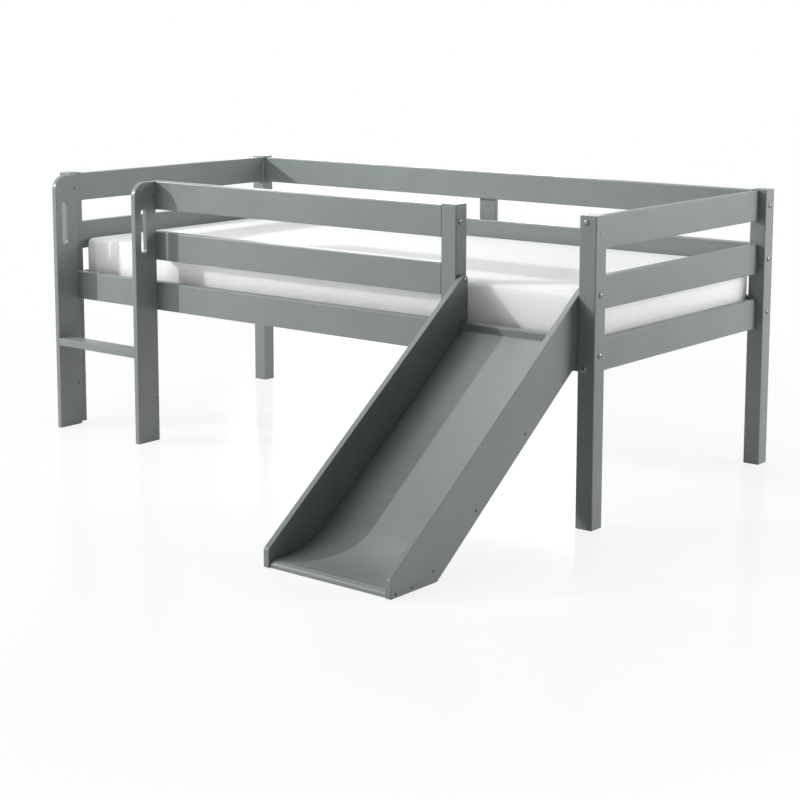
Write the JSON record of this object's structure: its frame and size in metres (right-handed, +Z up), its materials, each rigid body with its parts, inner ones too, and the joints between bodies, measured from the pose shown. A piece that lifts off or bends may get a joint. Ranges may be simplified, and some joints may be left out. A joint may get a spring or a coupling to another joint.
{
  "type": "low loft bed with slide",
  "caption": "Low wooden children's loft bed in grey lacquer with guard rails, a slatted base, a mattress, a one-rung ladder at the left and a slide at the right",
  "frame": {"origin": "On the floor, in the middle of the box that holds the bed, its ladder and its slide", "axes": "+X runs along the bed to the slide's end, +Y from the open front to the back, +Z up"},
  "size_m": [2.1074, 1.7618, 0.84],
  "materials": {
    "lacquer": "opaque satin grey lacquer on smooth solid wood",
    "bare_wood": "sanded untreated softwood",
    "cover": "smooth white mattress cover",
    "bolt_steel": "zinc-plated steel",
    "plug": "moulded grey plastic"
  },
  "bodies": {
    "bed": {"post_left_front": "lacquer", "post_left_back": "lacquer", "post_right_front": "lacquer", "post_right_back": "lacquer", "guard_post": "lacquer", "end_rail_left_top": "lacquer", "end_rail_left_middle": "lacquer", "end_rail_left_low": "lacquer", "end_rail_right_top": "lacquer", "end_rail_right_middle": "lacquer", "end_rail_right_low": "lacquer", "back_rail_top": "lacquer", "back_rail_middle": "lacquer", "back_rail_low": "lacquer", "back_stile": "lacquer", "front_rail_low": "lacquer", "guard_rail_top": "lacquer", "guard_rail_middle": "lacquer", "bearer_front": "bare_wood", "bearer_back": "bare_wood", "slat_01": "bare_wood", "slat_02": "bare_wood", "slat_03": "bare_wood", "slat_04": "bare_wood", "slat_05": "bare_wood", "slat_06": "bare_wood", "slat_07": "bare_wood", "slat_08": "bare_wood", "slat_09": "bare_wood", "slat_10": "bare_wood", "slat_11": "bare_wood", "slat_12": "bare_wood", "ladder_board_left": "lacquer", "ladder_board_right": "lacquer", "ladder_rung": "lacquer", "slide_board_left": "lacquer", "slide_board_right": "lacquer", "slide_surface": "lacquer", "slide_nose": "lacquer", "side_bolt_left_front_low": "bolt_steel", "side_bolt_left_back_top": "bolt_steel", "side_bolt_left_back_middle": "bolt_steel", "side_bolt_left_back_low": "bolt_steel", "side_bolt_right_front_middle": "bolt_steel", "side_bolt_right_front_low": "bolt_steel", "side_bolt_right_back_top": "bolt_steel", "side_bolt_right_back_middle": "bolt_steel", "side_bolt_right_back_low": "bolt_steel", "end_bolt_left_front_top": "bolt_steel", "end_bolt_left_front_low": "bolt_steel", "end_bolt_left_back_top": "bolt_steel", "end_bolt_left_back_low": "bolt_steel", "end_bolt_right_front_top": "bolt_steel", "end_bolt_right_front_low": "bolt_steel", "end_bolt_right_back_top": "bolt_steel", "end_bolt_right_back_low": "bolt_steel", "hole_plug_right_front": "plug", "guard_bolt": "bolt_steel", "slide_bolt_left": "bolt_steel"},
    "mattress": {"mattress": "cover"}
  },
  "joints": [
    {"name": "mattress_lift", "type": "slide", "parent": "bed", "child": "mattress", "axis": [0, 0, 1], "range_m": [0, 0.4]}
  ]
}
